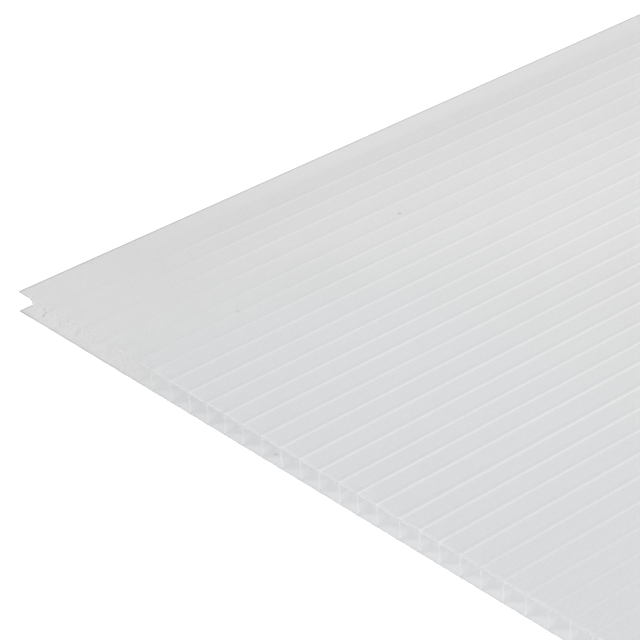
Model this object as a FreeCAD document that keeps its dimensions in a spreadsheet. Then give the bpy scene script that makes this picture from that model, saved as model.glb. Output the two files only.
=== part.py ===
"""Twin-wall polycarbonate sheet, 10 mm thick, as a parametric model in millimetres.

The sheet is one extrusion. Two thin skins are held apart by upright webs at an even pitch, and
the webs divide the space between the skins into long square flutes that run the whole length.
A wide sheet is slit lengthwise between two webs, so each long edge is an open channel: both
skins overhang the last web. Both ends are sawn square, so every flute is open there.

The frame: X across the webs, Y along the flutes, Z up. The origin is at the middle of the
underside, which lies on Z = 0.
"""

import FreeCAD, Part
import os

import Sketcher

NODE = "twinwall_sheet"
SAME = 1e-6  # places along one axis that differ by less than this are one place

# Driving dimensions: alias, value in millimetres, what it is.
DRIVING = (
    ("sheet_width", 700.0, "across the webs, from slit edge to slit edge"),
    ("sheet_length", 2000.0, "along the flutes, from sawn end to sawn end"),
    ("sheet_thickness", 10.0, "over both skins"),
    ("skin", 0.5, "thickness of the upper skin and of the lower one"),
    ("web", 0.5, "thickness of an upright web"),
    ("pitch", 11.0, "from one web to the next, centre to centre"),
    ("left_overhang", 10.0, "from the left slit edge to the face of the first web"),
    ("least_overhang", 1.0, "least from the face of the last web to the right slit edge"),
    ("corner_radius", 0.8, "round in each inner corner of a flute or channel"),
)

# Worked out from the driving dimensions: alias, formula, what it is.
DERIVED = (
    ("inner_height", "=sheet_thickness - 2 * skin", "clear height between the skins"),
    ("flute_width", "=pitch - web", "clear width between two webs"),
    ("first_flute", "=left_overhang + web", "from the left slit edge to the first flute"),
    ("flute_count", "=floor((sheet_width - first_flute - least_overhang) / pitch)",
     "whole flutes between the first web and the last"),
    ("pattern_length", "=(flute_count - 1) * pitch", "from the first flute to the last"),
    ("last_web_face", "=first_flute + flute_count * pitch",
     "from the left slit edge to the outer face of the last web"),
    ("right_overhang", "=sheet_width - last_web_face",
     "from the face of the last web to the right slit edge"),
)


def fill_sizes(doc):
    """Writes both tables into a spreadsheet, one row each, with an alias on every value."""
    sizes = doc.addObject("Spreadsheet::Sheet", "sizes")
    for row, (alias, value, meaning) in enumerate(DRIVING + DERIVED, start=1):
        sizes.set(f"A{row}", alias)
        sizes.set(f"B{row}", str(value))
        sizes.set(f"C{row}", meaning)
        sizes.setAlias(f"B{row}", alias)
    doc.recompute()
    return sizes


def origin_feature(body, role):
    """The body's own plane or axis of that role, such as XZ_Plane."""
    return next(f for f in body.Origin.OriginFeatures if f.Role == role)


def draw_box(body, name, left, bottom, width, height):
    """A sketch of one rectangle in the sheet's section, tied to formulas of the sizes.

    The section's x is measured from the left slit edge and its y from the underside. Lines 0,
    1, 2 and 3 are the lower, right, upper and left sides, and each starts at its own corner.
    """
    sketch = body.newObject("Sketcher::SketchObject", name)
    sketch.AttachmentSupport = [(origin_feature(body, "XZ_Plane"), "")]
    sketch.MapMode = "FlatFace"
    corners = [FreeCAD.Vector(x, y, 0) for x, y in ((1, 1), (2, 1), (2, 2), (1, 2))]
    for side in range(4):
        sketch.addGeometry(Part.LineSegment(corners[side], corners[(side + 1) % 4]))
    for side in range(4):
        sketch.addConstraint(Sketcher.Constraint("Coincident", side, 2, (side + 1) % 4, 1))
        level = "Vertical" if side % 2 else "Horizontal"
        sketch.addConstraint(Sketcher.Constraint(level, side))
    origin, corner = (-1, 1), (0, 1)
    measures = (
        ("left", "DistanceX", (*origin, *corner), left),
        ("bottom", "DistanceY", (*origin, *corner), bottom),
        ("width", "DistanceX", (0, 1, 0, 2), width),
        ("height", "DistanceY", (1, 1, 1, 2), height),
    )
    for label, kind, points, formula in measures:
        index = sketch.addConstraint(Sketcher.Constraint(kind, *points, 1.0))
        sketch.renameConstraint(index, label)
        sketch.setExpression(f"Constraints.{label}", formula)
    return sketch


def cut_through(body, name, sketch):
    """A pocket of the sketch through the whole length of the sheet, both ways from its middle."""
    pocket = body.newObject("PartDesign::Pocket", name)
    pocket.Profile = sketch
    pocket.Type = "ThroughAll"
    pocket.SideType = "Symmetric"
    return pocket


def round_inner_corners(doc, body, name, base, faces_x):
    """Rounds the long corners of the last cut that stand at the given x of the section.

    A long corner is an edge that runs along the flutes between the two skins' inner faces.
    """
    doc.recompute()
    sizes = doc.sizes
    inner_faces_z = (sizes.skin, sizes.sheet_thickness - sizes.skin)

    def is_at(place, places):
        return any(abs(place - other) < SAME for other in places)

    def is_corner(edge):
        first, last = edge.Vertexes[0].Point, edge.Vertexes[-1].Point
        runs_along = is_at(first.x, [last.x]) and is_at(first.z, [last.z])
        return runs_along and is_at(first.x, faces_x) and is_at(first.z, inner_faces_z)

    found = [f"Edge{i}" for i, edge in enumerate(base.Shape.Edges, start=1) if is_corner(edge)]
    rounds = body.newObject("PartDesign::Fillet", name)
    rounds.Base = (base, found)
    rounds.setExpression("Radius", "sizes.corner_radius")
    return rounds


def build_sheet(doc):
    """The whole sheet: a solid blank, two open edge channels, and one flute, repeated."""
    sizes = doc.sizes
    body = doc.addObject("PartDesign::Body", NODE)
    body.Label = NODE

    blank = body.newObject("PartDesign::Pad", "blank")
    blank.Profile = draw_box(
        body, "blank_section", "0", "0", "sizes.sheet_width", "sizes.sheet_thickness"
    )
    blank.SideType = "Symmetric"
    blank.setExpression("Length", "sizes.sheet_length")

    left_cut = cut_through(body, "left_channel", draw_box(
        body, "left_channel_section",
        "0", "sizes.skin", "sizes.left_overhang", "sizes.inner_height",
    ))
    round_inner_corners(doc, body, "left_channel_rounds", left_cut, [sizes.left_overhang])
    right_cut = cut_through(body, "right_channel", draw_box(
        body, "right_channel_section",
        "sizes.last_web_face", "sizes.skin", "sizes.right_overhang", "sizes.inner_height",
    ))
    round_inner_corners(doc, body, "right_channel_rounds", right_cut, [sizes.last_web_face])
    flute_cut = cut_through(body, "flute", draw_box(
        body, "flute_section",
        "sizes.first_flute", "sizes.skin", "sizes.flute_width", "sizes.inner_height",
    ))
    flute_rounds = round_inner_corners(
        doc, body, "flute_rounds", flute_cut,
        [sizes.first_flute, sizes.first_flute + sizes.flute_width],
    )

    flutes = body.newObject("PartDesign::LinearPattern", "flutes")
    flutes.Originals = [flute_cut, flute_rounds]
    flutes.Direction = (origin_feature(body, "X_Axis"), [""])
    flutes.setExpression("Length", "sizes.pattern_length")
    flutes.setExpression("Occurrences", "sizes.flute_count")
    body.Tip = flutes

    body.setExpression("Placement.Base.x", "-sizes.sheet_width / 2")
    return body


def check(doc, body):
    """Stops the build if any feature failed or the sheet isn't one sound solid."""
    failed = [o.Name for o in doc.Objects if {"Invalid", "Error"} & set(o.State)]
    if failed:
        raise RuntimeError(f"these features failed: {failed}")
    shape = body.Shape
    if shape.isNull() or not shape.isValid() or len(shape.Solids) != 1:
        raise RuntimeError("the sheet isn't one valid solid")


def main():
    doc = FreeCAD.newDocument("twinwall")
    sizes = fill_sizes(doc)
    sheet = build_sheet(doc)
    doc.recompute()
    check(doc, sheet)
    os.makedirs("parts", exist_ok=True)
    sheet.Shape.exportStep(f"parts/{NODE}.step")
    print(f"{sizes.flute_count} flutes, right overhang {sizes.right_overhang:.2f} mm")
    print(f"solid volume {sheet.Shape.Volume / 1000:.1f} cm3, box {sheet.Shape.BoundBox}")


main()
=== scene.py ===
# %% [markdown]
# # A twin-wall polycarbonate sheet
#
# The object is one extruded sheet of opal plastic: two thin skins, held apart by upright webs.
# Between the webs run long empty flutes. The CAD model gives the sheet's exact size and place.
# This lesson builds the sheet that is seen around that frame, with the small unevenness that
# every extrusion has, and gives it the finish of a plastic that light passes into.
#
# Units are metres, and every place is in the CAD frame: X across the webs, Y along the flutes,
# Z up, with the origin at the middle of the underside. The near end is the one with low Y, and
# the slit edges are the two long ones.

# %% Tools and the CAD frame
import math
from types import SimpleNamespace

import bpy
import numpy as np
from mathutils import Matrix, Quaternion, Vector


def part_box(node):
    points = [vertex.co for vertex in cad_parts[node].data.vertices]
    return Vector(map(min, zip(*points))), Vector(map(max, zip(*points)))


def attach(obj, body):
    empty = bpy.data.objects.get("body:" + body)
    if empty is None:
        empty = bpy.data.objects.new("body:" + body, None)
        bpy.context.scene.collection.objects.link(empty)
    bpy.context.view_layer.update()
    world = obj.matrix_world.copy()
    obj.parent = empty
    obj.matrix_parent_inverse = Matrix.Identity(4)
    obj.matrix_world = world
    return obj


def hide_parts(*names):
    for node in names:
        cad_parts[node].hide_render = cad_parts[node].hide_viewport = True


MM = 0.001
CAD_NODE = "twinwall_sheet"

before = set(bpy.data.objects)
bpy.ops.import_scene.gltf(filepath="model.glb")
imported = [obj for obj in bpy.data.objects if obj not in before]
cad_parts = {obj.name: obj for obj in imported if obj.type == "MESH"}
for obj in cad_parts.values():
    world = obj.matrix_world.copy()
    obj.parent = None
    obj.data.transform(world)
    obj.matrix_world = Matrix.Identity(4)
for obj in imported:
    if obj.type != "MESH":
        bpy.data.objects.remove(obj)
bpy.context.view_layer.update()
low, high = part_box(CAD_NODE)
WIDTH, LENGTH, THICKNESS = high - low
NEAR_LEFT = Vector((low.x, low.y, high.z))


def new_object(name, data):
    """A new object that stands in the scene."""
    made = bpy.data.objects.new(name, data)
    bpy.context.scene.collection.objects.link(made)
    return made


print(f"sheet {WIDTH:.3f} x {LENGTH:.3f} x {THICKNESS:.3f} m")

# %% [markdown]
# ## The camera
#
# The photograph looks down along the sheet from its near end, and shows its near left part. The
# lines over the webs stay almost parallel in it, which only a long lens does. The camera could be
# placed by its coordinates, but here it is set the way a photographer would say it: aimed at a
# point of the upper skin, from a compass direction, at a height angle and a distance. Each of
# these can be read off the picture and changed by itself.

# %% Camera
AIM = NEAR_LEFT + Vector((104.4, 76.5, 0)) * MM
CAMERA_DIRECTION = math.radians(47.22)  # turned from the flutes' direction
CAMERA_HEIGHT = math.radians(31.32)
CAMERA_DISTANCE = 1.3233
CAMERA_ROLL = math.radians(-0.28)
CAMERA_LENS_MM = 179.2
SENSOR_MM = 36.0

# The camera stands on a sphere round AIM. Its direction and its height angle give the way back
# to it, and the roll turns it about its own line of sight.
back = Vector((
    math.sin(CAMERA_DIRECTION) * math.cos(CAMERA_HEIGHT),
    -math.cos(CAMERA_DIRECTION) * math.cos(CAMERA_HEIGHT),
    math.sin(CAMERA_HEIGHT),
))
camera_data = bpy.data.cameras.new("camera")
camera_data.sensor_width, camera_data.lens = SENSOR_MM, CAMERA_LENS_MM
camera = new_object("camera", camera_data)
camera.rotation_mode = "QUATERNION"
camera.location = AIM + back * CAMERA_DISTANCE
roll = Quaternion((0, 0, 1), CAMERA_ROLL)
camera.rotation_quaternion = (-back).to_track_quat("-Z", "Y") @ roll
bpy.context.scene.camera = camera
print("camera at", [round(v, 3) for v in camera.location])

# %% [markdown]
# ## The sheet's section
#
# The die gives the sheet one section from end to end: skins and webs half a millimetre thick, and
# a web every eleven millimetres. It could be one outline with 62 holes, but a face with holes has
# to be filled by a tool, which cuts it into thin triangles. Here the section is a row of picture
# frames. Each is the plastic round one flute: its inner line is the flute's wall with rounded
# corners, and its outer line is a plain box from the middle of one web to the middle of the next.
# With as many points on both lines, the sawn end between them is a ring of four-sided faces.

# %% Sizes of the section
SKIN = 0.5 * MM
WEB = 0.5 * MM
PITCH = 11 * MM
LEFT_OVERHANG = 10 * MM
LEAST_OVERHANG = 1 * MM
CORNER_RADIUS = 0.8 * MM

FIRST_WEB = LEFT_OVERHANG + WEB / 2
FLUTES = math.floor((WIDTH - LEFT_OVERHANG - WEB - LEAST_OVERHANG) / PITCH)
WEBS = FLUTES + 1
RIGHT_OVERHANG = WIDTH - FIRST_WEB - FLUTES * PITCH - WEB / 2
CLEAR_WIDTH = PITCH - WEB
CLEAR_HEIGHT = THICKNESS - 2 * SKIN
print(f"{FLUTES} flutes, right overhang {RIGHT_OVERHANG / MM:.2f} mm")

# %% [markdown]
# ## Webs that wander
#
# Molten plastic is never laid down quite evenly. In the photograph some webs stand a millimetre
# off their even place, they lean a little, and the skins dish between them. Noise on the finished
# mesh would bend everything alike, so each web gets offsets of its own instead. The webs that the
# photograph shows get the offsets seen there, and the others get random ones, a little smaller.

# %% Offsets of the webs
SEED = 7
WEBS_SEEN = 30
WEBS_SEEN_OFF = {  # web number: how many mm it stands to the right of its even place
    0: 0.5, 1: 0.5, 4: 0.8, 5: 1.4, 6: 0.6, 7: -0.5, 8: -0.3, 9: 0.3, 10: 0.4, 12: -0.5,
    18: -0.7, 19: -1.4, 20: 0.3, 22: -0.6, 23: -0.6, 24: -0.5, 26: 0.6, 27: 0.7, 28: 0.4, 29: 0.4,
}
UNSEEN_OFF = 0.35 * MM
DRIFT, DRIFT_WAVES = 0.12 * MM, (0.8, 2.2)  # how far, and how many waves from end to end
LEAN = 0.35 * MM
DISH = 0.07 * MM
CORNER_BOW = 3.4 * MM  # the first web is bent over where the near corner was sawn
CORNER_BOW_REACH = 80 * MM

rng = np.random.default_rng(SEED)
web_offset = rng.normal(0.0, UNSEEN_OFF, WEBS)
web_offset[:WEBS_SEEN] = 0.0
for web_number, offset_mm in WEBS_SEEN_OFF.items():
    web_offset[web_number] = offset_mm * MM
web_lean = rng.normal(0.0, LEAN, WEBS)
web_lean[0] = 0.0
drift_turn = rng.uniform(0.0, 2 * math.pi, WEBS)
drift_waves = rng.uniform(*DRIFT_WAVES, WEBS)
print(f"webs stand up to {np.abs(web_offset).max() / MM:.1f} mm off")


def web_middle(web, y, z):
    """X of a web's middle: even place, plus offset, slow drift along y and lean with height z.

    The drift is a sine of the place along the flute. The offset holds at the upper skin, and the
    lean grows in a straight line from there to its full amount at the lower one. The first web
    also bows to the left with the cube of the height, less and less away from the near end.
    """
    along = (y - low.y) / LENGTH
    even = low.x + FIRST_WEB + PITCH * web
    drift = DRIFT * np.sin(2 * math.pi * drift_waves[web] * along + drift_turn[web])
    middle = even + web_offset[web] + drift + web_lean[web] * (z / THICKNESS - 1.0)
    if web == 0:
        middle = middle - CORNER_BOW * (z / THICKNESS) ** 3 * np.exp(-(y - low.y) / CORNER_BOW_REACH)
    return middle


# %% [markdown]
# ## One side of a picture frame
#
# Where a skin meets a web, the die leaves a small round fillet. A Bevel modifier could make it,
# but then the seams of the frames would be rounded too. So the fillets are drawn: a side of a
# frame runs from the middle of one rounded corner to the middle of the next, as half an arc, a
# straight stretch and half an arc.

# %% Sides of a frame
ARC_STEPS = 3
SKIN_STEPS = 8
WEB_STEPS = 2


def frame_side(inner_length, outer_margin, steps):
    """Points of one side, as (along, depth, outer), each measured from the inner corner.

    along and depth give the inner line: an eighth of a circle of CORNER_RADIUS, a straight
    stretch on depth 0, and the eighth mirrored. outer is the place along the outer line, which
    starts outer_margin before the inner corner and ends as far past the other one.
    """
    angle = np.linspace(math.pi / 4, math.pi / 2, ARC_STEPS + 1)
    arc_along = CORNER_RADIUS * (1 - np.cos(angle))
    arc_depth = CORNER_RADIUS * (1 - np.sin(angle))
    arc_outer = np.linspace(-outer_margin, CORNER_RADIUS, ARC_STEPS + 1)
    straight = np.linspace(CORNER_RADIUS, inner_length - CORNER_RADIUS, steps + 1)[1:-1]
    along = np.r_[arc_along, straight, inner_length - arc_along[::-1]]
    depth = np.r_[arc_depth, 0 * straight, arc_depth[::-1]]
    outer = np.r_[arc_outer, straight, inner_length - arc_outer[::-1]]
    return along, depth, outer


skin_side = frame_side(CLEAR_WIDTH, WEB / 2, SKIN_STEPS)
web_side = frame_side(CLEAR_HEIGHT, SKIN, WEB_STEPS)
print("points per skin and per web side:", len(skin_side[0]), len(web_side[0]))

# %% [markdown]
# ## Stations along the sheet
#
# Each line of the section is repeated at stations along the sheet, and the faces lie between
# them. A slow drift needs few stations, but the light changes quickly just inside the flutes'
# mouths, so two more stations stand close to each end.
#
# Every surface also gets its place on a flat map, a UV map, through which a program that can't
# run Blender's patterns reads them from a picture. Blender can lay a mesh out by itself, but it
# would give the hidden flute walls most of the room. Here the map is a stack of strips as wide as
# the sheet, and the upper skin has the tallest one.

# %% Stations and the flat map
END_STATIONS = np.array([0.0, 2.5, 12.0]) * MM
END_SHARES = np.array([0.0, 0.015, 0.035])  # their places up a strip of the flat map
MIDDLE_STATIONS = 15


def close_near_ends(ends, whole):
    """Numbers from 0 to whole: those of ends, even steps between, and ends mirrored."""
    middle = np.linspace(ends[-1], whole - ends[-1], MIDDLE_STATIONS)
    return np.r_[ends[:-1], middle, whole - ends[-2::-1]]


STATIONS = low.y + close_near_ends(END_STATIONS, LENGTH)
UP_STRIP = close_near_ends(END_SHARES, 1.0)[:, None]
STRIPS = {  # where each strip of the flat map starts and ends, from 0 at its foot to 1
    "far end": (0.01, 0.045), "near end": (0.055, 0.09), "slit edges": (0.1, 0.13),
    "walls": (0.14, 0.39), "lower skin": (0.4, 0.61), "upper skin": (0.62, 0.99),
}
SIDE_MARGIN = 0.002  # left free on both sides of a strip
BAND_MARGIN = 0.05  # left free on both sides of a flute's band in the strip of the walls


def together(*parts):
    """Numbers of any matching shapes as the coordinates of one grid of places."""
    return np.stack(np.broadcast_arrays(*parts), axis=-1)


def on_map(strip, across, up):
    """Places on the flat map, from the shares across and up a strip."""
    start, end = STRIPS[strip]
    flat_u = SIDE_MARGIN + (1 - 2 * SIDE_MARGIN) * across
    return together(flat_u, start + (end - start) * up)


def across_sheet(places):
    """The share across the sheet of a place among the webs, which counts from web 0."""
    return (FIRST_WEB + PITCH * places) / WIDTH


def share_along(s, h):
    """The share of a line's whole length at each of its points."""
    length = np.r_[0.0, np.cumsum(np.hypot(np.diff(s), np.diff(h)))]
    return length / length[-1]


print(len(STATIONS), "stations")

# %% [markdown]
# ## Grids of faces
#
# Every surface of the sheet is a grid of points in rows and columns, and one list keeps them all.
# With its points, a grid keeps which kind of surface it is, its place on the flat map, and each
# point's place among the webs: 3 on the middle of web 3, and 3.5 halfway to web 4. The finish
# reads that number to draw the line over a web, so that the line follows a web that wanders,
# which a pattern on plain coordinates wouldn't do.

# %% Grids of faces
OUTER_SKIN, FLUTE_WALL, SAWN_EDGE, MATT_GLOW_WALL = 0, 1, 2, 3
MATT_GLOW_FLUTES = 6  # the flutes next to the near left corner, whose walls are matt and glow more in the haze

grids = []


def add_grid(points, places, kind, flat, inward):
    """Keeps a grid of points, shape (rows, columns, 3); inward says to turn its faces over."""
    grids.append((points, places, kind, flat, inward))


# %% [markdown]
# ## The flutes
#
# One function gives the two lines of a flute's frame at every station. The lower skin is dished
# up and the upper one down, by a squared sine between the webs, because the hot skin sinks a
# little where no web carries it. A Bezier surface could do the same, but the formula keeps every
# point of the inner and the outer line in step, so the skin keeps its thickness.

# %% A flute's frame


def whole_round(half_s, half_h):
    """A closed line round a flute from its first half: the rest is that, turned half a circle."""
    s = np.r_[half_s, CLEAR_WIDTH - half_s, half_s[:1]]
    h = np.r_[half_h, CLEAR_HEIGHT - half_h, half_h[:1]]
    return s, h


def ring_of(flute):
    """The inner and the outer line of one flute's frame at every station, and their web places.

    The lines go round as lower skin, right web, upper skin, left web. A point divides the way
    between the two webs as in the even section: on the outer line from middle to middle, and on
    the inner line with a margin of half a web to each. The skins dish by DISH times the squared
    sine of the place between the webs. Last comes the share round the inner line.
    """
    along_skin, depth_skin, outer_skin = (line[:-1] for line in skin_side)
    along_web, depth_web, outer_web = (line[:-1] for line in web_side)
    edge = WEB / 2
    inner = whole_round(np.r_[along_skin, CLEAR_WIDTH - depth_web], np.r_[depth_skin, along_web])
    outer = whole_round(np.r_[outer_skin, 0 * outer_web + CLEAR_WIDTH + edge],
                        np.r_[0 * outer_skin - SKIN, outer_web])
    y = STATIONS[:, None]
    lines = []
    for (s, h), margin in ((inner, edge), (outer, 0.0)):
        share = (s + edge) / PITCH
        z = SKIN + h
        z = z + DISH * np.sin(math.pi * share) ** 2 * (1 - 2 * z / THICKNESS)
        left, right = web_middle(flute, y, z) + margin, web_middle(flute + 1, y, z) - margin
        x = left + (right - left) * (s + edge - margin) / (PITCH - 2 * margin)
        lines.append((together(x, y, z), np.broadcast_to(flute + share, x.shape)))
    return *lines, share_along(*inner)


def add_frame(number, inner, outer, around, lower, upper, turned=False):
    """Keeps a frame's surfaces: its wall, its part of each skin and its two sawn ends.

    Frame 0 is the left edge channel. inner and outer are the two lines, each with its web
    places, and around is the share round the inner one. lower and upper say which parts of the
    outer line are skin. turned says that the lines run the other way round.
    """
    across = (number + BAND_MARGIN + (1 - 2 * BAND_MARGIN) * around) / (FLUTES + 2)
    kind = MATT_GLOW_WALL if number <= MATT_GLOW_FLUTES else FLUTE_WALL
    add_grid(*inner, kind, on_map("walls", across, UP_STRIP), not turned)
    for strip, part in (("lower skin", lower), ("upper skin", upper)):
        points, places = outer[0][:, part], outer[1][:, part]
        add_grid(points, places, OUTER_SKIN, on_map(strip, across_sheet(places), UP_STRIP), turned)
    for strip, row, inward in (("near end", 0, turned), ("far end", -1, not turned)):
        points, places = (np.stack([inner[k][row], outer[k][row]]) for k in (0, 1))
        flat = on_map(strip, across_sheet(places), points[..., 2] / THICKNESS)
        add_grid(points, places, SAWN_EDGE, flat, inward)


# %% All flutes
SKIN_POINTS, WEB_POINTS = len(skin_side[0]), len(web_side[0])
LOWER = slice(SKIN_POINTS)
UPPER = slice(SKIN_POINTS + WEB_POINTS - 2, 2 * SKIN_POINTS + WEB_POINTS - 2)
for flute in range(FLUTES):
    add_frame(flute + 1, *ring_of(flute), LOWER, UPPER)
print("grids so far:", len(grids))

# %% [markdown]
# ## The open edge channels
#
# The sheet is slit to its width wherever the cut falls, so beyond the first and the last web
# there is half a flute, open to the side: the photograph shows it as a notch at the near left
# corner. It could be cut from a whole flute with a Boolean, which leaves odd faces behind. The
# same lines are drawn here with three sides instead of four, and the thickness of each skin is
# closed by a narrow strip along the slit edge.

# %% Edge channels


def channel(web, edge_x, overhang):
    """The frame of an edge channel: three sides, open towards the slit edge.

    It goes from the slit edge along the lower skin, up the last web and back along the upper
    skin, and stretches evenly from the slit edge to the web. towards is +1 where the web lies
    to the right of the slit edge, and -1 elsewhere.
    """
    towards = 1.0 if edge_x < 0 else -1.0
    reach = overhang + WEB / 2
    along_arc, depth_arc, outer_arc = (line[ARC_STEPS::-1] for line in skin_side)
    along_web, depth_web, outer_web = (line[:-1] for line in web_side)
    straight = np.linspace(0.0, overhang - CORNER_RADIUS, SKIN_STEPS + 1)[:-1]
    along_skin = np.r_[straight, overhang - along_arc]
    depth_skin = np.r_[0 * straight, depth_arc]
    outer_skin = np.r_[straight, overhang - outer_arc]
    inner_s = np.r_[along_skin[:-1], overhang - depth_web, along_skin[::-1]]
    inner_h = np.r_[depth_skin[:-1], along_web, CLEAR_HEIGHT - depth_skin[::-1]]
    outer_s = np.r_[outer_skin[:-1], 0 * outer_web + reach, outer_skin[::-1]]
    below, above = 0 * outer_skin - SKIN, 0 * outer_skin + CLEAR_HEIGHT + SKIN
    outer_h = np.r_[below[:-1], outer_web, above]
    y = STATIONS[:, None]
    lines = []
    for s, h in ((inner_s, inner_h), (outer_s, outer_h)):
        z = SKIN + h
        x = edge_x + (web_middle(web, y, z) - edge_x) * (s / reach)
        places = np.broadcast_to(web + towards * (s - reach) / PITCH, x.shape)
        lines.append((together(x, y, z), places))
    return *lines, share_along(inner_s, inner_h), len(along_skin)


SLIT_STRIPS, SLIT_BAND = 4, np.array([0.2, 0.8])  # how many, and the part that each one fills

slit_strips = 0
for web, edge_x, overhang in ((0, low.x, LEFT_OVERHANG), (WEBS - 1, high.x, RIGHT_OVERHANG)):
    inner, outer, around, count = channel(web, edge_x, overhang)
    turned = web > 0
    number = FLUTES + 1 if turned else 0
    add_frame(number, inner, outer, around, slice(count), slice(-count, None), turned)
    for end, inward in ((0, not turned), (-1, turned)):
        points, places = (np.stack([inner[k][:, end], outer[k][:, end]], axis=1) for k in (0, 1))
        flat = on_map("slit edges", UP_STRIP, (slit_strips + SLIT_BAND) / SLIT_STRIPS)
        add_grid(points, places, SAWN_EDGE, flat, inward)
        slit_strips += 1
print("grids in all:", len(grids))

# %% [markdown]
# ## One closed mesh
#
# The real sheet is one piece, so the grids become one mesh. They could be joined as objects and
# their doubles merged by an operator, but numpy does it in one go: points that fall into the same
# tiny cell are the same point. A solid is closed when each edge has exactly two faces, so the
# edges are counted. Faces are smooth over the fillets, and sharp where the saw cut.

# %% Welding the grids
WELD = 0.001 * MM


def quads_of(rows, columns, start, inward):
    """Corner numbers of a grid's faces, row by row, turned over if inward."""
    corner = start + np.arange(rows * columns).reshape(rows, columns)
    around = [corner[:-1, :-1], corner[:-1, 1:], corner[1:, 1:], corner[1:, :-1]]
    quads = np.stack(around, axis=-1).reshape(-1, 4)
    return quads[:, ::-1] if inward else quads


def weld_grids():
    """All grids as one list of points and faces; points in one cell, WELD wide, are the same.

    The places on the flat map stay with the corners of the faces, because a point on a seam
    has more than one.
    """
    parts, start = [], 0
    for points, places, kind, flat, inward in grids:
        rows, columns = places.shape
        quads = quads_of(rows, columns, start, inward)
        flat = np.broadcast_to(flat, (rows, columns, 2)).reshape(-1, 2)
        kinds = np.full(len(quads), kind)
        parts.append((points.reshape(-1, 3), places.reshape(-1), quads, kinds, flat))
        start += rows * columns
    points, places, corners, kinds, flats = (np.concatenate(part) for part in zip(*parts))
    cells = np.round(points / WELD).astype(np.int64)
    _, first, twin = np.unique(cells, axis=0, return_index=True, return_inverse=True)
    return points[first], places[first], twin.reshape(-1)[corners], kinds, flats[corners.reshape(-1)]


points, places, faces, face_kind, flat_corners = weld_grids()
sides = np.sort(np.stack([faces, np.roll(faces, -1, axis=1)], axis=-1).reshape(-1, 2), axis=1)
_, uses = np.unique(sides, axis=0, return_counts=True)
print(len(points), "points and", 2 * len(faces), "triangles")
print("edges used other than twice:", int((uses != 2).sum()))

# %% The sheet as an object
SHARP_ANGLE = math.radians(35)
FLAT_MAP = "OFBake"  # the export keeps a piece's own flat map under this name
FILLET_REACH = 1.5

sheet_mesh = bpy.data.meshes.new("opal_sheet")
sheet_mesh.from_pydata(points.tolist(), [], faces.tolist())
flat_map = sheet_mesh.uv_layers.new(name=FLAT_MAP)
flat_map.uv.foreach_set("vector", flat_corners.astype(np.float32).ravel())

# How near a flute's corner a point is: 1 in the fillet's middle, 0 from FILLET_REACH radii on.
from_web = np.abs(places - np.round(places)) * PITCH - WEB / 2
from_skin = np.minimum(points[:, 2], THICKNESS - points[:, 2]) - SKIN
fillet = np.clip(FILLET_REACH - np.maximum(from_web, from_skin) / CORNER_RADIUS, 0, 1)
for name, values in (("web_place", places), ("fillet", fillet)):
    layer = sheet_mesh.attributes.new(name, "FLOAT", "POINT")
    layer.data.foreach_set("value", values.astype(np.float32))

sheet_mesh.polygons.foreach_set("use_smooth", np.ones(len(faces), bool))
sheet_mesh.set_sharp_from_angle(angle=SHARP_ANGLE)
sheet_mesh.validate()
sheet = new_object("opal_sheet", sheet_mesh)
print("mesh faces:", len(sheet_mesh.polygons), "of", len(faces))

# %% [markdown]
# ## Helpers for node materials
#
# A material in Blender is a small wiring diagram. It could be wired line by line, but a few
# helpers keep it readable. One adds a node and fills its inputs, and each of the others says one
# thing that a finish needs, such as a soft step from one value to another, or a level changed
# where a mask says so. Places are in millimetres from the sheet's near left upper corner, because
# that is how they are read off the photograph. A mask goes from 0 to 1, and its range is written
# with the place where it is 0 first.

# %% Wiring helpers


def fill(node, wires):
    """Fills a node's inputs with plain values or with other nodes' outputs."""
    for name, value in wires.items():
        if isinstance(value, bpy.types.NodeSocket):
            node.id_data.links.new(value, node.inputs[name])
        else:
            node.inputs[name].default_value = value


def add(kind, wires, tree=None, **settings):
    """Adds a node and fills its inputs, in the tree given or else the one its wires come from."""
    tree = tree or next(v.id_data for v in wires.values() if isinstance(v, bpy.types.NodeSocket))
    node = tree.nodes.new(kind)
    for name, value in settings.items():
        setattr(node, name, value)
    fill(node, wires)
    return node


def calc(operation, *values):
    """One step of arithmetic, and its result."""
    wires = dict(enumerate(values))
    return add("ShaderNodeMath", wires, operation=operation).outputs["Value"]


def vector_calc(operation, *values, result="Vector"):
    """One step of arithmetic on places or colours, and its result."""
    wires = dict(enumerate(values))
    return add("ShaderNodeVectorMath", wires, operation=operation).outputs[result]


def step(value, start, end, before=0.0, after=1.0):
    """A soft step, an S-curve from before at start to after at end; start may be the higher."""
    wires = {"Value": value, "From Min": start, "From Max": end, "To Min": before, "To Max": after}
    return add("ShaderNodeMapRange", wires, interpolation_type="SMOOTHSTEP").outputs["Result"]


def both(*masks):
    """The product of some masks, which is one only where all of them are."""
    product = masks[0]
    for mask in masks[1:]:
        product = calc("MULTIPLY", product, mask)
    return product


def where(*ranges):
    """A mask of the places inside all ranges, each (value, start, end) as a step has them."""
    return both(*(step(*limits) for limits in ranges))


def adjust(level, *changes):
    """level, plus amount times mask for each change, which is a pair (mask, amount)."""
    for mask, amount in changes:
        level = calc("MULTIPLY_ADD", mask, amount, level)
    return level


def away_from(value, middle):
    """How far a value is from middle, on either side."""
    return calc("ABSOLUTE", calc("SUBTRACT", value, middle))


def from_ends(value, whole):
    """How far a value between 0 and whole is from the nearer of the two."""
    return calc("MINIMUM", value, calc("SUBTRACT", whole, value))


def stored(place, name):
    """A number that the mesh keeps for each of its points, in the tree of the place."""
    return add("ShaderNodeAttribute", {}, place.id_data, attribute_name=name).outputs["Fac"]


def axes(place):
    """The X, Y and Z of a place."""
    return add("ShaderNodeSeparateXYZ", {0: place}).outputs


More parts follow.
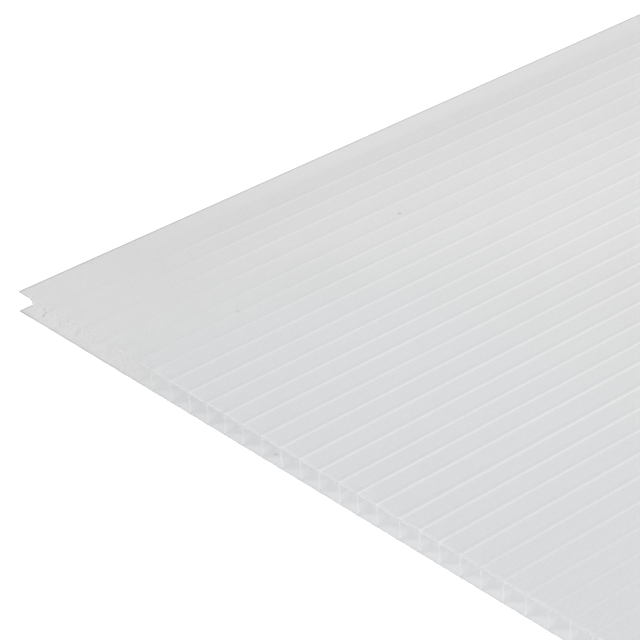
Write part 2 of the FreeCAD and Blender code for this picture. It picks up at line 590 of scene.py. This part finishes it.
def noise(place, scale, stretch=(1, 1, 1), detail=2.0):
    """Soft noise between -1 and 1 over a place, its grain scale mm wide times stretch."""
    scaled = vector_calc("MULTIPLY", place, [1.0 / (scale * s) for s in stretch])
    grain = add("ShaderNodeTexNoise", {"Vector": scaled, "Scale": 1.0, "Detail": detail})
    return calc("MULTIPLY_ADD", grain.outputs["Fac"], 2.0, -1.0)


# %% [markdown]
# ## Effects that more than one surface shows
#
# An effect that several surfaces share is built once, as a node group, and put into each
# material. Only masks and values come out of a group, and each material decides what they do.

# %% Starting a group


def new_group(name, *outputs, values=()):
    """A node group that takes a place and the named values, and the nodes of its two ends."""
    tree = bpy.data.node_groups.new(name, "ShaderNodeTree")
    tree.interface.new_socket("Place", in_out="INPUT", socket_type="NodeSocketVector")
    for label in values:
        tree.interface.new_socket(label, in_out="INPUT", socket_type="NodeSocketFloat")
    for label in outputs:
        tree.interface.new_socket(label, in_out="OUTPUT", socket_type="NodeSocketFloat")
    print("shared effect:", name)
    return tree, add("NodeGroupInput", {}, tree).outputs, add("NodeGroupOutput", {}, tree)


def shared(group, output, **wires):
    """One output of a shared effect, placed in a material with its own values."""
    return add("ShaderNodeGroup", wires, node_tree=group).outputs[output]


# %% [markdown]
# ### Streaks of the die
#
# The lip of the die leaves hair-fine streaks that run the whole length of the sheet. An image of
# scratches would repeat, and a Wave texture is too regular. Noise that is stretched more than a
# hundred times along the flutes never repeats: fine streaks, and broad ones over them.

# %% Die streaks
STREAK_FINE, STREAK_FINE_LONG = 1.4, 260
STREAK_BROAD, STREAK_BROAD_LONG, BROAD_SHARE = 9, 120, 0.8
streaks, given, results = new_group("Die Streaks", "Streak")
fine_streak = noise(given["Place"], STREAK_FINE, (1, STREAK_FINE_LONG, 1))
broad_streak = noise(given["Place"], STREAK_BROAD, (1, STREAK_BROAD_LONG, 1))
fill(results, {"Streak": adjust(fine_streak, (broad_streak, BROAD_SHARE))})

# %% [markdown]
# ### Milky clouds
#
# The white pigment isn't stirred in perfectly, so some parts of an opal sheet let a little more
# light through. The clouds are a hand wide and nearly twice as long, drawn out by the extrusion.

# %% Clouds in the plastic
CLOUD_SIZE, CLOUD_LONG = 70, 1.8
clouds, given, results = new_group("Milky Clouds", "Cloud")
fill(results, {"Cloud": noise(given["Place"], CLOUD_SIZE, (1, CLOUD_LONG, 1))})

# %% [markdown]
# ### The hazy near corner
#
# Towards its near left corner the sheet in the photograph grows hazy: the web lines fade, and the
# mouths of the first flutes can hardly be told from the plastic round them. There the walls and the
# sawn edges lose their shade to a painted glow. One mask says how hazy a place is, from its distance
# to that corner in both directions, and every surface there uses the same mask, so they fade
# together.

# %% The hazy corner
HAZE_ACROSS, HAZE_ALONG = (112, 58), (110, 40)  # mm from the corner: gone, and full
HAZE_LEFT_ALONG = 0.15  # the share that stays all along the slit edge
haze, given, results = new_group("Hazy Corner", "Haze")
haze_at = axes(given["Place"])
haze_across = step(haze_at["X"], *HAZE_ACROSS)
haze_along = step(haze_at["Y"], *HAZE_ALONG, HAZE_LEFT_ALONG)
fill(results, {"Haze": both(haze_across, haze_along)})

# %% [markdown]
# ### The line along a slit edge
#
# Seen from above, each slit edge is bounded by a thin dark line. There the knife has pressed the
# plastic thin and clear, and light leaves through it sideways instead of upwards. The group gives
# the distance from the nearer slit edge, and a mask of the line.

# %% Slit edges
SLIT_LINE = (1.5, 0.6)  # mm from the edge: no line, full line
slit_edge, given, results = new_group("Slit Edge", "Inward", "Line")
inward_mm = from_ends(axes(given["Place"])["X"], WIDTH / MM)
fill(results, {"Inward": inward_mm, "Line": step(inward_mm, *SLIT_LINE)})

# %% [markdown]
# ### Dust specks
#
# A sheet without its film soon carries a few specks. Scattered objects would be far too much for
# them. A Voronoi texture sets one point in each cell of a coarse grid and gives it random
# colours: one of these decides whether the speck is there at all, and another how big it is.

# %% Dust
DUST_CELL = 26
SPECK_RADIUS, SPECK_SPREAD = 0.25, 0.55  # the smallest, and how much bigger the biggest is
SPECK_EDGE = (0, 0.6)  # share of the way in from its rim: no speck, full speck
dust, given, results = new_group("Dust Specks", "Dust", values=["Share"])
dust_place = vector_calc("MULTIPLY", given["Place"], [1 / DUST_CELL] * 3)
dust_points = add("ShaderNodeTexVoronoi", {"Vector": dust_place, "Scale": 1.0})
dust_draw = add("ShaderNodeSeparateColor", {0: dust_points.outputs["Color"]}).outputs
dust_radius = calc("MULTIPLY_ADD", dust_draw["Green"], SPECK_SPREAD, SPECK_RADIUS)
dust_away = calc("MULTIPLY", dust_points.outputs["Distance"], DUST_CELL)
dust_disc = calc("SUBTRACT", 1.0, calc("DIVIDE", dust_away, dust_radius))
dust_shown = calc("LESS_THAN", dust_draw["Red"], given["Share"])
fill(results, {"Dust": both(step(dust_disc, *SPECK_EDGE), dust_shown)})

# %% [markdown]
# ## What all the finishes start from
#
# All surfaces are the same plastic, so one function starts each material: the refraction index
# of polycarbonate and, for the skin and the sawn edges, light that goes a short way into it. A
# glass-like Transmission would let the rays through both skins, but then the flutes turn dark,
# because a path tracer gives up before it has followed a ray through sixty webs. Short
# Subsurface scattering shows the milky glow of the opal plastic, and costs little.

# %% Starting a material
POLYCARBONATE_IOR = 1.585
MARK_CORE = 0.35  # the part of a mark's radius in which it is fully dark


def start_material(name, subsurface_mm=0.0, gloss=0.5):
    """A new material with its shader, and the place in mm from the near left upper corner."""
    material = bpy.data.materials.new(name)
    material.use_nodes = True
    tree = material.node_tree
    shader = tree.nodes["Principled BSDF"]
    fill(shader, {
        "IOR": POLYCARBONATE_IOR, "Specular IOR Level": gloss,
        "Subsurface Weight": 1.0 if subsurface_mm else 0.0,
        "Subsurface Radius": (1, 1, 1), "Subsurface Scale": subsurface_mm * MM,
    })
    here = add("ShaderNodeTexCoord", {}, tree).outputs["Object"]
    from_corner = vector_calc("SUBTRACT", here, list(NEAR_LEFT))
    place = vector_calc("MULTIPLY", from_corner, [1 / MM] * 3)
    return material, shader, place


def tinted(tint, level):
    """A tint made lighter or darker by level, as a colour for a shader."""
    return add("ShaderNodeVectorMath", {0: tint, "Scale": level}, operation="SCALE").outputs[0]


def blend(share, first, second):
    """Goes from the first colour to the second as share goes from 0 to 1."""
    wires = {0: share, 4: first, 5: second}  # 4 and 5 are the mix node's inputs A and B for vectors
    return add("ShaderNodeMix", wires, data_type="VECTOR").outputs[1]


def bump(shader, height, depth_mm):
    """Gives the shader a relief whose height of one stands depth_mm proud."""
    relief = add("ShaderNodeBump", {"Height": height, "Distance": depth_mm * MM})
    fill(shader, {"Normal": relief.outputs["Normal"]})


def marks(place, spots):
    """A mask of round marks, each (x, y, z or None, radius, darkness) in mm from the corner.

    A mark with no z goes through the sheet, so it shows on both skins. Its darkness is full in
    its core, and gone at the radius.
    """
    mask = 0.0
    for x, y, z, radius, darkness in spots:
        flattened = vector_calc("MULTIPLY", place, (1, 1, 0 if z is None else 1))
        away = vector_calc("DISTANCE", flattened, (x, y, z or 0), result="Value")
        disc = step(away, MARK_CORE * radius, radius, darkness, 0.0)
        mask = calc("MAXIMUM", mask, disc)
    return mask


print("refraction index of the plastic:", POLYCARBONATE_IOR)

# %% [markdown]
# ## The opal skin
#
# Seen from above, each web shows through the skin as a thin lighter line, with a fainter dark
# line to its left where the fillet turns the light away. Real light through a real skin would
# give such lines too, but only with far more samples than a preview has, and their strength
# couldn't be chosen. So the finish draws them, from each point's own place among the webs.

# %% Skin: the lines over the webs
SKIN_LIGHT_REACH = 0.4  # mm that light spreads in the skin; more blurs the lines
LINE_HALF = (0.95, 0.15)  # mm from the web's middle: no line, full line
LINE_LIGHTER = 0.12
SIDE_AT, SIDE_HALF = -1.75, (1.1, 0.2)
SIDE_DARKER = -0.036

skin, shader, place = start_material("opal_skin", SKIN_LIGHT_REACH)
at = axes(place)
web_place = stored(place, "web_place")
nearest_web = calc("ROUND", web_place)
past_web = calc("MULTIPLY", calc("SUBTRACT", web_place, nearest_web), PITCH / MM)
line = step(away_from(past_web, 0.0), *LINE_HALF)
side_line = step(away_from(past_web, SIDE_AT), *SIDE_HALF)
print("lines over the webs up to", LINE_HALF[0], "mm from their middle")

# %% [markdown]
# The lines aren't equally strong. Each web's line comes and goes along the sheet by noise of its
# own, all of them grow a little to the right, they fade away in the hazy corner and on a stretch
# of the near end further right, and over the first and the last web there is almost none.

# %% Skin: how strong the lines are
LINE_GROWS = (60, 230, 0.75, 1.1)  # from this X to that: weaker, stronger than usual
LINE_NOISE, LINE_NOISE_SIZE, LINE_NOISE_STRETCH = 0.35, 90, (0.3, 1, 1)
WEBS_APART = 40  # far enough in the noise for neighbours to differ
FAINT_FROM, FAINT_TO, FAINT_ALONG = (225, 325), (470, 380), (160, 90)
FAINT_WEAKER = -0.8
EDGE_WEBS = (0.3, 0.7, 0.1, 1)  # from this many webs in to that: the share of the line

webs_in = from_ends(web_place, FLUTES)
own_wires = {"X": calc("MULTIPLY", nearest_web, WEBS_APART), "Y": at["Y"], "Z": at["Z"]}
own_place = add("ShaderNodeCombineXYZ", own_wires).outputs[0]
own_noise = noise(own_place, LINE_NOISE_SIZE, LINE_NOISE_STRETCH)
faint = where((at["X"], *FAINT_FROM), (at["X"], *FAINT_TO), (at["Y"], *FAINT_ALONG))
hazy = shared(haze, "Haze", Place=place)
clear = calc("SUBTRACT", 1.0, hazy)
strength = both(adjust(step(at["X"], *LINE_GROWS), (own_noise, LINE_NOISE)),
                adjust(1.0, (faint, FAINT_WEAKER)), clear, step(webs_in, *EDGE_WEBS))
print("a line's strength varies by", LINE_NOISE)

# %% [markdown]
# The rest of the skin's tone is soft: clouds, die streaks and fine grain, a band of painted shade
# over the first flutes, painted light on the overhang beside it, at the near left corner and on the
# rim at the sawn ends, and soft patches of painted light and shade where the photograph shows them.
# Away from what the photograph shows, the clouds are a little stronger, so that its patches don't
# stand alone.

# %% Skin: painted light and shade, and soft tone
LIGHT_AND_SHADE_PATCHES = [  # painted light and shade: centre X and Y, reach across and along, and how much lighter, from the photograph
    (110, 235, 75, 110, 0.032), (80, 152, 42, 48, 0.010), (78, 94, 36, 32, -0.012),
]
PATCH_FADE = (1, 0.15)  # share of the reach: no patch, full patch
# Painted light at the near left corner.
LIT_CORNER_X, LIT_CORNER_Y, LIT_CORNER_LIGHTER = (100, 25), (60, 12), 0.035
# Painted shade in a band over the first flutes, and painted light on the overhang beside it.
SHADE_BAND_START, SHADE_BAND_END, SHADE_BAND_Y = (-0.1, 0.2), (3.2, 0.4), (30, 130)  # webs in, webs in, mm
SHADE_BAND_DARKER = -0.03
LIT_OVERHANG_END, LIT_OVERHANG_Y, LIT_OVERHANG_LIGHTER = (0.05, -0.25), (90, 150), 0.012
# Painted light along the rim of the skin at the sawn ends.
LIT_RIM, LIT_RIM_LIGHTER = (2.2, 0.7), 0.022
CLOUD, MORE_CLOUD = 0.02, 0.015
UNSEEN_X, UNSEEN_Y = (330, 480), (420, 600)
STREAK = 0.006
GRAIN, GRAIN_SIZE = 0.065, 1.1

tone = 1.0
# Soft patches of painted light and shade.
for x, y, reach_x, reach_y, lighter in LIGHT_AND_SHADE_PATCHES:
    from_patch = vector_calc("SUBTRACT", place, (x, y, 0))
    in_reaches = vector_calc("MULTIPLY", from_patch, (1 / reach_x, 1 / reach_y, 0))
    away = vector_calc("LENGTH", in_reaches, result="Value")
    tone = adjust(tone, (step(away, *PATCH_FADE), lighter))
# Painted light at the near left corner.
corner = where((at["X"], *LIT_CORNER_X), (at["Y"], *LIT_CORNER_Y))
# Painted shade in the band, and painted light on the overhang.
shade_band = where((webs_in, *SHADE_BAND_START), (webs_in, *SHADE_BAND_END), (at["Y"], *SHADE_BAND_Y))
overhang = where((webs_in, *LIT_OVERHANG_END), (at["Y"], *LIT_OVERHANG_Y))
# Painted light along the rim at the sawn ends.
lit_rim = both(step(from_ends(at["Y"], LENGTH / MM), *LIT_RIM), clear)
cloud = shared(clouds, "Cloud", Place=place)
unseen = calc("MAXIMUM", step(at["X"], *UNSEEN_X), step(at["Y"], *UNSEEN_Y))
streak = shared(streaks, "Streak", Place=place)
fine_grain = noise(place, GRAIN_SIZE, detail=1.0)
tone = adjust(tone, (corner, LIT_CORNER_LIGHTER), (shade_band, SHADE_BAND_DARKER), (lit_rim, LIT_RIM_LIGHTER),
              (overhang, LIT_OVERHANG_LIGHTER), (cloud, CLOUD), (both(cloud, unseen), MORE_CLOUD),
              (streak, STREAK), (fine_grain, GRAIN))
print(len(LIGHT_AND_SHADE_PATCHES), "soft patches")

# %% [markdown]
# Last come the marks: four specks that the photograph shows, others at random, and the line
# along the slit edges. The colour is nearly neutral, a little cooler on the right near end. The
# streaks and the sink over each web are also in the relief, a few hundredths of a millimetre
# deep, and the surface is rougher in its streaks and clouds, as extruded plastic is.

# %% Skin: marks, colour and relief
SPECKS_SEEN = [
    (62.4, 163.3, None, 1.5, 1.0), (75.8, 56.1, None, 1.0, 0.9), (171.5, 115.0, None, 0.9, 0.5),
    (23.7, 192.0, None, 0.8, 0.5),
]
SPECK_SHARE, SPECK_DARKER = 0.05, -0.16
SLIT_DARKER = -0.2
SKIN_TINT, COOL_TINT = (0.797, 0.798, 0.797), (0.786, 0.798, 0.812)
COOL_X, COOL_Y = (35, 130), (20, 190, 1, 0.1)  # 0.1 of the coolness stays further up
SKIN_ROUGHNESS, SKIN_STREAK_ROUGH, CLOUD_ROUGH, SPECK_ROUGH = 0.33, 0.05, 0.04, 0.3
SKIN_RELIEF, LINE_SINK, SPECK_RISE = 0.02, -0.6, 1.5  # mm, and shares of it

specks = calc("MAXIMUM", marks(place, SPECKS_SEEN),
              shared(dust, "Dust", Place=place, Share=SPECK_SHARE))
tone = adjust(tone, (both(line, strength), LINE_LIGHTER), (both(side_line, strength), SIDE_DARKER))
slit_line = adjust(1.0, (shared(slit_edge, "Line", Place=place), SLIT_DARKER))
tone = adjust(both(tone, slit_line), (specks, SPECK_DARKER))
cool = where((at["Y"], *COOL_Y), (at["X"], *COOL_X))
fill(shader, {
    "Base Color": tinted(blend(cool, SKIN_TINT, COOL_TINT), tone),
    "Roughness": adjust(SKIN_ROUGHNESS, (streak, SKIN_STREAK_ROUGH), (cloud, CLOUD_ROUGH),
                        (specks, SPECK_ROUGH)),
})
bump(shader, adjust(streak, (line, LINE_SINK), (specks, SPECK_RISE)), SKIN_RELIEF)
print("skin nodes:", len(skin.node_tree.nodes))

# %% [markdown]
# ## The walls of the flutes
#
# A flute of an opal sheet isn't a dark hole: light comes down through the skin all along it. To
# follow that light honestly takes hundreds of bounces, so the walls carry a quiet glow of their
# own on top of what falls in. The glow changes as the photograph shows: dimmer just inside the
# mouth, brighter low down there, at the rim and in the fillets. On a flute's floor the light from
# outside falls in at a slant, so the web shades the floor beside it, and more of it further in.

# %% Walls: how they glow
FILLET_GLOW, STREAK_GLOW, CHANNEL_GLOW = 0.03, 0.03, -0.17
MOUTH, MOUTH_GLOW = (8, 3), -0.07  # mm into the flute: nothing of it, all of it
NEAR, LOW, LOW_MOUTH_GLOW = (6.5, 3), (-3.5, -6.5), 0.085  # mm into the flute, and Z
FLOOR, FLOOR_GLOW, FLOOR_SHADE, FLOOR_LIT = (-8.8, -9.2), 0.02, -0.045, 0.095
LIT_SLANT, LIT_EDGE = 0.85, (-0.9, 2.5)  # mm across per mm of depth, and how soft it is
RIM_DEPTH, RIM_START, RIM_END, RIM_GLOW = (1.1, 0.4), (-9.3, -8.6), (-2, -5), 0.04


def wall_masks(place):
    """The values and masks that the walls' finish needs, by name."""
    at, web_place = axes(place), stored(place, "web_place")
    left, right = calc("LESS_THAN", web_place, 0.0), calc("GREATER_THAN", web_place, FLUTES)
    return SimpleNamespace(
        x=at["X"], z=at["Z"], depth=from_ends(at["Y"], LENGTH / MM), web_place=web_place,
        floor=step(at["Z"], *FLOOR), channel=calc("MAXIMUM", left, right),
        fillet=stored(place, "fillet"), hazy=shared(haze, "Haze", Place=place),
        streak=shared(streaks, "Streak", Place=place),
    )


def wall_glow(here):
    """How strongly a wall glows, about 1 deep in a flute and less in the edge channels."""
    mouth, near = step(here.depth, *MOUTH), step(here.depth, *NEAR)
    past_web = calc("MULTIPLY", calc("FRACT", here.web_place), PITCH / MM)
    slant = adjust(past_web, (here.depth, -LIT_SLANT))
    lit = both(mouth, here.floor, step(slant, *LIT_EDGE))
    lit_rim = where((here.depth, *RIM_DEPTH), (here.z, *RIM_START), (here.z, *RIM_END))
    glow = adjust(
        1.0, (here.fillet, FILLET_GLOW), (here.streak, STREAK_GLOW), (mouth, MOUTH_GLOW),
        (both(near, step(here.z, *LOW)), LOW_MOUTH_GLOW), (lit_rim, RIM_GLOW), (lit, FLOOR_LIT),
        (here.floor, FLOOR_GLOW), (both(near, here.floor), FLOOR_SHADE),
    )
    return both(glow, adjust(1.0, (here.channel, CHANNEL_GLOW)))


print("light on a flute's floor moves", LIT_SLANT, "mm across per mm of depth")

# %% [markdown]
# Grime and painted shade darken the glow and the light alike. Crumbs of the saw cut lie just inside
# some mouths, with ragged outlines, because noise pushes each place about before the round marks are
# drawn. Fine grime is only where the haze is, and the slit edge has the same line as above. Painted
# shade dims the walls round X 85 mm and in the edge channels, and a flute's floor is darker just
# inside the mouth, more so in the haze.

# %% Walls: grime and painted shade
CRUMBS = [
    (11.0, 3.4, -9.2, 1.0, 0.18), (11.0, 4.4, -8.8, 1.1, 0.21), (11.0, 5.4, -8.2, 0.9, 0.16),
    (10.8, 4.8, -6.4, 0.9, 0.12), (21.9, 4.0, -8.2, 1.1, 0.12), (21.9, 4.5, -7.0, 1.0, 0.10),
    (32.7, 4.9, -8.1, 1.3, 0.08), (44.5, 3.5, -7.0, 1.5, 0.05), (155.7, 5.0, -9.5, 1.0, 0.3),
]
RAGGED, RAGGED_SCALE = 3.0, 0.9  # mm that places are pushed, and waves of that per mm
GRIME, GRIME_SIZE = 0.08, 2.2
WALL_LIGHTER = 1.012
# Painted shade round X 85 mm.
DIM_X, DIM_REACH, DIM_SHADE_DARKER = 85, (150, 5), -0.045
FLOOR_EDGE, FLOOR_EDGE_DARKER = (1.3, 0.3), -0.07
FLOOR_EDGE_CLEAR = 0.6  # the share of that where there is no haze
# The slit edge's line, and painted shade in the edge channels.
WALL_SLIT_DARKER, CHANNEL_SHADE_DARKER = -0.19, -0.03


def wall_grime_and_shade(place, here):
    """How much grime and painted shade leave of a wall's light: 1 with neither, and less where some
    light is lost.
    """
    drift = add("ShaderNodeTexNoise", {"Vector": place, "Scale": RAGGED_SCALE, "Detail": 2.0})
    push = vector_calc("SUBTRACT", drift.outputs["Color"], [0.5] * 3)
    ragged = vector_calc("MULTIPLY_ADD", push, [RAGGED] * 3, place)
    grime = both(noise(place, GRIME_SIZE, detail=3.0), here.hazy)
    # Painted shade round DIM_X.
    dim = step(away_from(here.x, DIM_X), *DIM_REACH)
    edge_share = adjust(FLOOR_EDGE_CLEAR, (here.hazy, 1.0 - FLOOR_EDGE_CLEAR))
    # Darker on a flute's floor just inside the mouth, more so in the haze.
    floor_edge = both(step(here.depth, *FLOOR_EDGE), here.floor, edge_share)
    grime_and_shade = adjust(WALL_LIGHTER, (marks(ragged, CRUMBS), -1.0), (grime, GRIME),
                   (dim, DIM_SHADE_DARKER), (floor_edge, FLOOR_EDGE_DARKER))
    # The slit edge's line, and painted shade in the edge channels.
    slit_line = shared(slit_edge, "Line", Place=place)
    return both(grime_and_shade, adjust(1.0, (slit_line, WALL_SLIT_DARKER)),
                adjust(1.0, (here.channel, CHANNEL_SHADE_DARKER)))


print(len(CRUMBS), "crumbs")

# %% [markdown]
# The same function makes both wall finishes. The clear one reflects like any plastic. The matt
# one, in the left channel and the first flutes, has no mirror reflection, and its painted glow is
# a little stronger in the haze. They could be one finish with a mask on its gloss, but how much
# a shader reflects is best kept a plain number, so that another program can read it.

# %% Walls: the clear and the dusty finish
# In the haze the walls are nearly black and carry a painted glow in place of their shade.
WALL_TINT, HAZY_TINT = (0.414, 0.418, 0.424), (0.05, 0.05, 0.05)
WALL_GLOW, HAZY_WALL_GLOW = (0.361, 0.364, 0.369), (0.622, 0.623, 0.622)
CLEAR_GLOSS, MATT_GLOSS = 0.5, 0.0
MATT_HAZE_GLOW_GAIN = 1.09
WALL_ROUGHNESS, STREAK_ROUGH, DUST_ROUGH = 0.3, 0.06, 0.25
WALL_RELIEF = 0.015  # mm


def make_wall(name, gloss, hazy_gain):
    """A finish for the flutes' inside; hazy_gain is how much brighter its glow is in the haze."""
    material, shader, place = start_material(name, gloss=gloss)
    here = wall_masks(place)
    glow, grime_and_shade = wall_glow(here), wall_grime_and_shade(place, here)
    hazy_glow = [hazy_gain * share for share in HAZY_WALL_GLOW]
    colour = blend(here.hazy, tinted(WALL_TINT, glow), HAZY_TINT)
    shine = blend(here.hazy, tinted(WALL_GLOW, glow), hazy_glow)
    fill(shader, {
        "Base Color": tinted(colour, grime_and_shade),
        "Emission Color": tinted(shine, grime_and_shade), "Emission Strength": 1.0,
        "Roughness": adjust(WALL_ROUGHNESS, (here.streak, STREAK_ROUGH), (here.hazy, DUST_ROUGH)),
    })
    bump(shader, here.streak, WALL_RELIEF)
    return material


wall = make_wall("flute_wall", CLEAR_GLOSS, 1.0)
matt_glow_wall = make_wall("matt_glowing_flute_wall", MATT_GLOSS, MATT_HAZE_GLOW_GAIN)
print("wall nodes:", len(wall.node_tree.nodes))

# %% [markdown]
# ## The sawn edges
#
# The ends were sawn and the sides slit, so they are matt, a little uneven, and paler than the
# flutes behind them. The saw leaves marks that run across the thickness: noise stretched
# upwards, in the colour, in the roughness and as relief. The lower corner stands in the sheet's
# own shade, which is painted, and on the left the lower skin's edge has a darker painted shade.
# In the haze the edge glows like the plastic round it.

# %% Sawn edge
SAWN_TINT, HAZY_SAWN_GLOW = (0.722, 0.729, 0.740), (0.572, 0.573, 0.572)
SAW_MARK, SAW_MARK_SIZE, SAW_MARK_STRETCH = 0.06, 0.5, (1, 1, 3)
LOWER_CORNER, UPPER_CORNER = (-9.9, -9.6, 0.7, 1), (-0.8, -0.2, 1, 0.905)  # Z, and the tone
# Painted shade along the bottom of the sawn edge, on its left part.
LOW_LEFT_Z, LOW_LEFT_X, LOW_LEFT_SHADE_DARKER = (-9.3, -9.5), (50, 90, 1, 0.3), -0.14
TO_RIGHT = (100, 220, 0.985, 1.02)  # from this X to that: the tone
TO_SLIT = (5, 9.5, 0.68, 1)  # the same, in mm from the slit edge
SAWN_ROUGHNESS, SAW_MARK_ROUGH = 0.6, 0.15
SAWN_RELIEF = 0.04  # mm

sawn, shader, place = start_material("sawn_edge", SKIN_LIGHT_REACH)
at = axes(place)
saw_marks = noise(place, SAW_MARK_SIZE, SAW_MARK_STRETCH, 3.0)
low_left_shade = where((at["Z"], *LOW_LEFT_Z), (at["X"], *LOW_LEFT_X))
marked = both(adjust(1.0, (saw_marks, SAW_MARK)), step(at["Z"], *LOWER_CORNER))
tone = both(adjust(marked, (low_left_shade, LOW_LEFT_SHADE_DARKER)), step(at["Z"], *UPPER_CORNER),
            step(at["X"], *TO_RIGHT), step(shared(slit_edge, "Inward", Place=place), *TO_SLIT))
hazy = shared(haze, "Haze", Place=place)
# In the haze the sawn edge is nearly black and carries a painted glow in place of its shade.
sawn_glow = blend(hazy, (0, 0, 0), tinted(HAZY_SAWN_GLOW, tone))
fill(shader, {
    "Base Color": blend(hazy, tinted(SAWN_TINT, tone), tinted(HAZY_TINT, tone)),
    "Emission Color": sawn_glow, "Emission Strength": 1.0,
    "Roughness": adjust(SAWN_ROUGHNESS, (saw_marks, SAW_MARK_ROUGH)),
})
bump(shader, saw_marks, SAWN_RELIEF)
print("sawn edge nodes:", len(sawn.node_tree.nodes))

# %% [markdown]
# ## A finish for every face
#
# Each grid kept what kind of surface it is, so the finishes only have to stand in the same order.

# %% Finishes on the mesh
finishes = {OUTER_SKIN: skin, FLUTE_WALL: wall, SAWN_EDGE: sawn, MATT_GLOW_WALL: matt_glow_wall}
for kind in sorted(finishes):
    sheet_mesh.materials.append(finishes[kind])
sheet_mesh.polygons.foreach_set("material_index", face_kind.astype(np.int32))
sheet_mesh.update()
print({finishes[kind].name: int((face_kind == kind).sum()) for kind in sorted(finishes)})

# %% [markdown]
# ## The table
#
# The photograph has a plain white ground with hardly a shadow on it. A big white floor lies just
# under the sheet, and glows a little, so that it stays white up to the sheet's edge. It belongs
# to the stage and isn't part of the object.

# %% Floor
GROUND_HALF = 30
GROUND_BELOW = 0.05 * MM
GROUND_WHITE, GROUND_ROUGHNESS, GROUND_GLOW = (0.9, 0.9, 0.9, 1.0), 0.9, 0.5
WHITE = (1, 1, 1, 1)

floor_mesh = bpy.data.meshes.new("floor")
floor_mesh.from_pydata([(-1, -1, 0), (1, -1, 0), (1, 1, 0), (-1, 1, 0)], [], [(0, 1, 2, 3)])
floor_mesh.transform(Matrix.Translation((0, 0, -GROUND_BELOW)) @ Matrix.Scale(GROUND_HALF, 4))
floor = new_object("floor", floor_mesh)

paint = bpy.data.materials.new("white_floor")
paint.use_nodes = True
fill(paint.node_tree.nodes["Principled BSDF"], {
    "Base Color": GROUND_WHITE, "Roughness": GROUND_ROUGHNESS,
    "Emission Color": WHITE, "Emission Strength": GROUND_GLOW,
})
floor_mesh.materials.append(paint)
print("floor", 2 * GROUND_HALF, "m wide")

# %% [markdown]
# ## The light
#
# The light in the photograph comes from everywhere, with a little more from the back left. A
# white world does most of it, and one large soft area light on that side gives the skin its
# faint shading. A sun or small lamps would draw sharp shadows that the photograph doesn't have.

# %% Light
WORLD_STRENGTH = 0.72
SOFTBOX_PLACE = (-1.4, 0.9, 1.6)
SOFTBOX_SIZE = (1.6, 1.0)
SOFTBOX_WATTS = 7.5

world = bpy.data.worlds.new("studio")
world.use_nodes = True
fill(world.node_tree.nodes["Background"], {"Color": WHITE, "Strength": WORLD_STRENGTH})
bpy.context.scene.world = world
bpy.context.scene.view_settings.view_transform = "Standard"

softbox_light = bpy.data.lights.new("softbox", "AREA")
softbox_light.shape = "RECTANGLE"
softbox_light.size, softbox_light.size_y = SOFTBOX_SIZE
softbox_light.energy = SOFTBOX_WATTS
softbox = new_object("softbox", softbox_light)
softbox.location = SOFTBOX_PLACE
softbox.rotation_mode = "QUATERNION"
softbox.rotation_quaternion = (softbox.location - AIM).to_track_quat("Z", "Y")
print("softbox", round((softbox.location - AIM).length, 2), "m from the aim")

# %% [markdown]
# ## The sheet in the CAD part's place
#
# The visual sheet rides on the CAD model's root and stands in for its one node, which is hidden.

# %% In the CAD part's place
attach(sheet, "root")
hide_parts(CAD_NODE)
